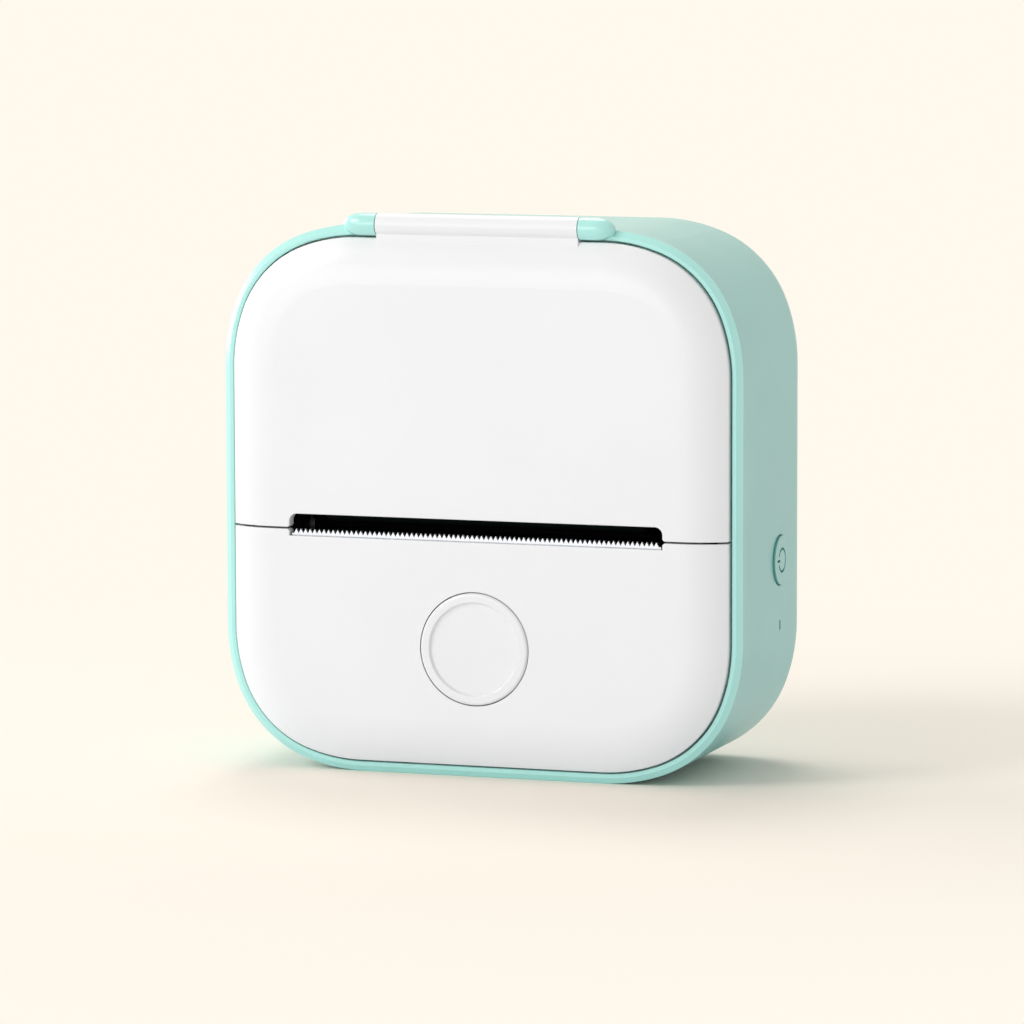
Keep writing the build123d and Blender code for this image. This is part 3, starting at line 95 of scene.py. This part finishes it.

# Power button, in metres: its cap's radius, how far inside that the painted shade on its rim starts and is
# full, and where the painted shade in the sunk symbol is full and has gone, by depth under the face and by
# distance from the middle

CAP_RADIUS = 3.8 * MM
CAP_RIM_SHADE_START = 0.12 * MM
CAP_RIM_SHADE_FULL = 0.04 * MM
SYMBOL_FULL_DEPTH = 0.12 * MM
SYMBOL_NONE_DEPTH = 0.05 * MM
SYMBOL_FULL_RADIUS = 2.4 * MM
SYMBOL_NONE_RADIUS = 2.5 * MM

# Print head, in metres: the glaze fades out between these places along Y

GLAZE_FULL_Y = -7.2 * MM
GLAZE_NONE_Y = -6.9 * MM

# Scales of the noise along X, Y and Z: drawn out into lines along X, pressed into rings round X, or left even

LINES_ALONG_X = (0.05, 1, 1)
RINGS_ROUND_X = (1, 0.02, 0.02)
EVEN = (1, 1, 1)

# Sockets of the node that mixes two colours

MIX_FACTOR = 0
MIX_FIRST = 6
MIX_SECOND = 7
MIX_RESULT = 2

COAT_ROUGHNESS = 0.16


# Shader maths

class Value:
    """A shader socket that takes part in Python expressions."""

    def __init__(self, nodes, socket):
        self.nodes = nodes
        self.socket = socket

    def maths(self, operation, first, second):
        return self.nodes.node("ShaderNodeMath", {"operation": operation}, {0: first, 1: second})

    def __add__(self, other):
        return self.maths("ADD", self, other)

    def __radd__(self, other):
        return self.maths("ADD", other, self)

    def __sub__(self, other):
        return self.maths("SUBTRACT", self, other)

    def __rsub__(self, other):
        return self.maths("SUBTRACT", other, self)

    def __mul__(self, other):
        return self.maths("MULTIPLY", self, other)

    def __rmul__(self, other):
        return self.maths("MULTIPLY", other, self)

    def __pow__(self, other):
        return self.maths("POWER", self, other)


def rgba(colour):
    """What a colour socket takes: a Value as it is, or a colour with full alpha."""
    return colour if isinstance(colour, Value) else (*colour, 1)


class Nodes:
    """The node tree of a material or of the world, under construction."""

    def __init__(self, owner):
        owner.use_nodes = True
        self.tree = owner.node_tree
        self.tree.nodes.clear()

    def node(self, kind, settings=None, inputs=None, output=0):
        made = self.tree.nodes.new(kind)
        for key, value in (settings or {}).items():
            setattr(made, key, value)
        for key, value in (inputs or {}).items():
            if isinstance(value, Value):
                self.tree.links.new(value.socket, made.inputs[key])
            else:
                made.inputs[key].default_value = value
        return Value(self, made.outputs[output])

    def seen(self):
        """1 where the camera, a reflection or something transparent looks, and 0 where light only bounces."""
        kinds = ("Is Camera Ray", "Is Glossy Ray", "Is Transmission Ray")
        camera, glossy, transmission = (self.node("ShaderNodeLightPath", output=kind) for kind in kinds)
        return camera + glossy + transmission

    def mix_shaders(self, factor, first, second):
        return self.node("ShaderNodeMixShader", {}, {0: factor, 1: first, 2: second})

    def surface(self, kind, shader):
        """Joins the finished shader to the tree's output."""
        out = self.tree.nodes.new(kind)
        self.tree.links.new(shader.socket, out.inputs["Surface"])


class Paint(Nodes):
    """A material under construction."""

    def __init__(self, name):
        self.material = bpy.data.materials.new(name)
        super().__init__(self.material)

    def place(self):
        return self.node("ShaderNodeTexCoord", output="Object")

    def along(self, axis):
        """Object coordinate X, Y or Z, in metres."""
        return self.node("ShaderNodeSeparateXYZ", {}, {"Vector": self.place()}, axis)

    def noise(self, scale, detail=2.0, rough=0.5, stretch=EVEN):
        at = self.node("ShaderNodeMapping", {}, {"Vector": self.place(), "Scale": stretch})
        inputs = {"Vector": at, "Scale": scale, "Detail": detail, "Roughness": rough}
        return self.node("ShaderNodeTexNoise", {}, inputs)

    def cells(self, scale, feature="F1"):
        """Distance to the nearest cell's middle, or to its edge."""
        inputs = {"Vector": self.place(), "Scale": scale}
        return self.node("ShaderNodeTexVoronoi", {"feature": feature}, inputs, "Distance")

    def ramp(self, value, low, high):
        """0 below low, 1 above high and a soft step between them."""
        return self.step(value, low, high, 0.0, 1.0)

    def fall(self, value, low, high):
        """1 below low, 0 above high and a soft step between them."""
        return self.step(value, low, high, 1.0, 0.0)

    def step(self, value, low, high, out_low, out_high):
        inputs = {"Value": value, "From Min": low, "From Max": high, "To Min": out_low, "To Max": out_high}
        return self.node("ShaderNodeMapRange", {"interpolation_type": "SMOOTHSTEP"}, inputs)

    def mix(self, factor, first, second):
        inputs = {MIX_FACTOR: factor, MIX_FIRST: rgba(first), MIX_SECOND: rgba(second)}
        return self.node("ShaderNodeMix", {"data_type": "RGBA"}, inputs, MIX_RESULT)

    def bump(self, height, depth):
        """Relief from a height between 0 and 1, depth millimetres deep."""
        return self.node("ShaderNodeBump", {}, {"Height": height, "Distance": depth * MM})

    def finish(self, **sockets):
        inputs = {key.replace("_", " "): value for key, value in sockets.items()}
        self.surface("ShaderNodeOutputMaterial", self.node("ShaderNodeBsdfPrincipled", {}, inputs, "BSDF"))
        return self.material


def dimmed(colour, share):
    return tuple(level * share for level in colour)


# Materials; roughnesses and shares run from 0 to 1, depths are in millimetres, noise scales are per metre

def moulded(name, colour, rough, grain=0.004, cloud=0.03, specular=0.5, coat=0.0):
    """Moulded plastic: a fine grain, faint flow clouds in the colour and handled, duller patches."""
    paint = Paint(name)
    clouds = paint.noise(scale=38, detail=3)
    handled = paint.noise(scale=95, detail=4, rough=0.6)
    fine = paint.noise(scale=4200, rough=0.6)
    lighter = tuple(min(1.0, level * (1 + cloud / 2)) for level in colour)
    shade = paint.mix(paint.ramp(clouds, low=0.35, high=0.65), dimmed(colour, 1 - cloud), lighter)
    roughness = rough - 0.05 + 0.08 * handled + 0.03 * fine
    return paint.finish(Base_Color=shade, Roughness=roughness, Normal=paint.bump(fine, grain),
                        Specular_IOR_Level=specular, Coat_Weight=coat, Coat_Roughness=COAT_ROUGHNESS)


def metal(name, colour, rough, stretch=EVEN):
    """Bright metal with drawn or ground lines, which stretch draws out."""
    paint = Paint(name)
    lines = paint.noise(scale=900, detail=3, rough=0.6, stretch=stretch)
    stain = paint.noise(scale=120, detail=3)
    shade = paint.mix(stain, dimmed(colour, 0.85), colour)
    return paint.finish(Base_Color=shade, Metallic=1.0, Roughness=rough - 0.08 + 0.16 * lines,
                        Normal=paint.bump(lines, depth=0.004))


def ground_rubber(name, colour, dust_colour):
    """Silicone rubber ground round its axis, with paper dust in it."""
    paint = Paint(name)
    rings = paint.noise(scale=3000, rough=0.6, stretch=RINGS_ROUND_X)
    dust = paint.ramp(paint.noise(scale=260, detail=5, rough=0.7), low=0.55, high=0.8)
    shade = paint.mix(0.06 * dust, colour, dust_colour)
    return paint.finish(Base_Color=shade, Roughness=0.85 + 0.1 * dust, Specular_IOR_Level=0.1,
                        Normal=paint.bump(rings, depth=0.006))


def glazed_ceramic(name, body, glaze):
    """The head's ceramic, under a dark glossy glaze towards its heating line."""
    paint = Paint(name)
    glazed = paint.fall(paint.along("Y"), low=GLAZE_FULL_Y, high=GLAZE_NONE_Y)
    speckle = paint.noise(scale=700, detail=3)
    shade = paint.mix(glazed, paint.mix(speckle, dimmed(body, 0.9), body), glaze)
    return paint.finish(Base_Color=shade, Roughness=0.5 - 0.15 * glazed + 0.06 * speckle,
                        Normal=paint.bump(speckle, depth=0.004))


def power_cap(name, colour, edge, symbol_shade):
    """The power button's mint plastic, with painted shade on its rim and in the symbol sunk into it."""
    paint = Paint(name)
    low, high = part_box("power_button")
    middle_y, middle_z = (low[1] + high[1]) / 2, (low[2] + high[2]) / 2
    off_centre = ((paint.along("Y") - middle_y) ** 2 + (paint.along("Z") - middle_z) ** 2) ** 0.5
    # Painted shade: darker mints on the cap's outer band and in the symbol's recess, where shade falls
    rim = paint.ramp(off_centre, low=CAP_RADIUS - CAP_RIM_SHADE_START, high=CAP_RADIUS - CAP_RIM_SHADE_FULL)
    deep = paint.fall(paint.along("X"), low=high[0] - SYMBOL_FULL_DEPTH, high=high[0] - SYMBOL_NONE_DEPTH)
    sunk = deep * paint.fall(off_centre, low=SYMBOL_FULL_RADIUS, high=SYMBOL_NONE_RADIUS)
    fine = paint.noise(scale=4200, rough=0.6)
    cloud = paint.mix(paint.noise(scale=60, detail=3), dimmed(colour, 0.97), colour)
    shade = paint.mix(sunk, paint.mix(rim, cloud, edge), symbol_shade)
    return paint.finish(Base_Color=shade, Roughness=0.36 + 0.04 * fine, Normal=paint.bump(fine, depth=0.006),
                        Coat_Weight=0.3, Coat_Roughness=COAT_ROUGHNESS)


def circuit_board(name, mask, track, plating):
    """Solder mask over copper tracks, with plated holes."""
    paint = Paint(name)
    tracks = paint.fall(paint.cells(scale=420.0, feature="DISTANCE_TO_EDGE"), low=0.05, high=0.09)
    holes = paint.fall(paint.cells(scale=300.0), low=0.12, high=0.16)
    shade = paint.mix(holes, paint.mix(tracks, mask, track), plating)
    return paint.finish(Base_Color=shade, Roughness=0.32 + 0.1 * tracks, Metallic=0.8 * holes,
                        Normal=paint.bump(tracks + holes, depth=0.03))


def crinkled_foil(name, colour):
    """The aluminium pouch of a cell, faintly crinkled and smudged."""
    paint = Paint(name)
    folds = paint.noise(scale=160, detail=5, rough=0.65)
    smudge = paint.noise(scale=60, detail=3)
    shade = paint.mix(smudge, dimmed(colour, 0.9), colour)
    return paint.finish(Base_Color=shade, Metallic=1.0, Roughness=0.3 + 0.2 * smudge,
                        Normal=paint.bump(folds, depth=0.2))


def open_foam(name, colour):
    """Adhesive foam with its cells showing."""
    paint = Paint(name)
    cells = paint.cells(scale=2200.0)
    # Painted shade: darker towards each cell's middle, where the bump sinks the surface into a pit
    shade = paint.mix(cells, dimmed(colour, 0.6), colour)
    return paint.finish(Base_Color=shade, Roughness=0.85 + 0.1 * cells, Normal=paint.bump(cells, depth=0.2))


CASE_MINT = srgb(146, 206, 200)

FINISHES = {
    "case_mint": moulded("case_mint", CASE_MINT, rough=0.38, grain=0.006, coat=0.3),
    "rim_mint": moulded("rim_mint", srgb(174, 234, 225), rough=0.24, coat=1.0),
    "panel_white": moulded("panel_white", srgb(240, 240, 240), rough=0.3, grain=0.003, cloud=0.012,
                           coat=0.2),
    "button_white": moulded("button_white", srgb(239, 239, 239), rough=0.24, grain=0.003, cloud=0.012,
                            coat=0.3),
    "dark_plastic": moulded("dark_plastic", srgb(14, 21, 20), rough=0.7, grain=0.006, specular=0.15),
    "bay_plastic": moulded("bay_plastic", srgb(206, 209, 208), rough=0.5, grain=0.008),
    "gear_plastic": moulded("gear_plastic", srgb(232, 228, 214), rough=0.42, grain=0.006),
    "chip_black": moulded("chip_black", srgb(26, 27, 29), rough=0.55, grain=0.012),
    "socket_white": moulded("socket_white", srgb(226, 220, 200), rough=0.5, grain=0.008),
    "roller_rubber": ground_rubber("roller_rubber", srgb(16, 27, 26), dust_colour=srgb(120, 120, 118)),
    "foam": open_foam("foam", srgb(60, 60, 62)),
    "wire_jacket": moulded("wire_jacket", srgb(168, 34, 28), rough=0.45, grain=0.006),
    "flex_film": moulded("flex_film", srgb(188, 118, 40), rough=0.32),
    "board_green": circuit_board("board_green", mask=srgb(18, 92, 56), track=srgb(34, 128, 78),
                                 plating=srgb(206, 190, 140)),
    "ceramic": glazed_ceramic("ceramic", body=srgb(222, 218, 204), glaze=srgb(12, 10, 9)),
    "lamp_clear": moulded("lamp_clear", srgb(118, 134, 130), rough=0.3),
    "coated_steel": moulded("coated_steel", srgb(9, 12, 12), rough=0.65, grain=0.008, specular=0.15),
    "steel": metal("steel", (0.62, 0.63, 0.65), rough=0.28),
    "tear_metal": metal("tear_metal", (0.76, 0.8, 0.88), rough=0.42, stretch=LINES_ALONG_X),
    "motor_steel": metal("motor_steel", (0.5, 0.51, 0.53), rough=0.42),
    "aluminium": metal("aluminium", srgb(34, 36, 38), rough=0.5, stretch=LINES_ALONG_X),
    "brass": metal("brass", (0.72, 0.5, 0.2), rough=0.3),
    "battery_foil": crinkled_foil("battery_foil", (0.72, 0.73, 0.75)),
}


def give_finishes():
    for part in frame["record"]["subparts"]:
        materials = frame["nodes"][part["node"]].data.materials
        materials.clear()
        materials.append(FINISHES[part["material_slot"]])
    # The cap's rim and symbol colours are painted shade: darker mints where shade falls
    cap = power_cap("power_mint", CASE_MINT, edge=srgb(92, 166, 158), symbol_shade=srgb(104, 176, 168))
    frame["nodes"]["power_button"].data.materials[0] = cap


# Springs, as merged copies of their meshes

def shortening_coil(node):
    """A spring as a smooth-shaded, merged copy of its mesh, put on the root body in its place."""
    bpy.ops.object.select_all(action="DESELECT")
    coil = bpy.data.objects.new(node + "_coil", frame["nodes"][node].data.copy())
    bpy.context.collection.objects.link(coil)
    coil.select_set(True)
    bpy.context.view_layer.objects.active = coil
    bpy.ops.object.mode_set(mode="EDIT")
    bpy.ops.mesh.select_all(action="SELECT")
    bpy.ops.mesh.remove_doubles(threshold=MERGE_DISTANCE)
    bpy.ops.object.mode_set(mode="OBJECT")
    bpy.ops.object.shade_smooth()
    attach(coil, "root")
    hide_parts(node)
    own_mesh(coil)


# Stage

def photo_camera():
    """The photograph's view: from the front, turned to the power button's side and a little above."""
    level = Vector((math.cos(CAMERA_YAW), math.sin(CAMERA_YAW), 0))
    forward = Vector((-math.sin(CAMERA_YAW), math.cos(CAMERA_YAW), 0))
    ahead = forward * math.cos(CAMERA_PITCH) - Vector((0, 0, math.sin(CAMERA_PITCH)))
    above = level.cross(ahead)
    right = level * math.cos(CAMERA_ROLL) + above * math.sin(CAMERA_ROLL)
    up = above * math.cos(CAMERA_ROLL) - level * math.sin(CAMERA_ROLL)
    lens = bpy.data.cameras.new("photo_camera")
    lens.sensor_width = SENSOR_WIDTH
    lens.lens = FOCAL_PIXELS / PHOTO_PIXELS * SENSOR_WIDTH
    lens.clip_start = NEAREST_SEEN
    lens.clip_end = FARTHEST_SEEN
    camera = bpy.data.objects.new("photo_camera", lens)
    bpy.context.collection.objects.link(camera)
    turn = Matrix((right, up, -ahead)).transposed().to_4x4()
    camera.matrix_world = Matrix.Translation(CAMERA_PLACE) @ turn
    bpy.context.scene.camera = camera


def studio_floor():
    """A pale floor that takes the shadow near the object and fades into the background beyond it."""
    bpy.ops.object.select_all(action="DESELECT")
    bpy.ops.mesh.primitive_plane_add(size=FLOOR_SIZE, location=(0, 0, -FLOOR_BELOW))
    floor = bpy.context.object
    floor.name = "studio_floor"
    paint = Paint("studio_floor")
    seen = paint.seen()
    tone = paint.mix(seen, FLOOR_BOUNCE, FLOOR_SEEN)
    plain = paint.node("ShaderNodeBsdfDiffuse", {}, {"Color": tone})
    glow = paint.node("ShaderNodeEmission", {}, {"Color": rgba(CREAM), "Strength": 1.0})
    reach = paint.node("ShaderNodeVectorMath", {"operation": "LENGTH"}, {0: paint.place()}, "Value")
    away = paint.ramp(reach, low=SHADOW_REACH, high=CREAM_REACH)
    paint.surface("ShaderNodeOutputMaterial", paint.mix_shaders(away * seen, plain, glow))
    floor.data.materials.append(paint.material)


def studio_world():
    """Even light from all round; the camera and reflections see the pale background instead."""
    world = bpy.data.worlds.new("studio_world")
    bpy.context.scene.world = world
    nodes = Nodes(world)
    light = nodes.node("ShaderNodeBackground", {}, {"Color": (1, 1, 1, 1), "Strength": WORLD_LIGHT})
    shown = nodes.node("ShaderNodeBackground", {}, {"Color": rgba(CREAM)})
    nodes.surface("ShaderNodeOutputWorld", nodes.mix_shaders(nodes.seen(), light, shown))


def soft_lamp(name, place, size, power):
    data = bpy.data.lights.new(name, "AREA")
    data.shape = "DISK"
    data.size = size
    data.energy = power
    lamp = bpy.data.objects.new(name, data)
    bpy.context.collection.objects.link(lamp)
    ahead = (Vector(LAMP_TARGET) - Vector(place)).normalized()
    lamp.rotation_euler = ahead.to_track_quat("-Z", "Y").to_euler()
    lamp.location = place


give_finishes()
shortening_coil("button_spring")
shortening_coil("head_springs")
photo_camera()
studio_floor()
studio_world()
for lamp in LAMPS:
    soft_lamp(**lamp)
bpy.context.scene.view_settings.view_transform = "Standard"
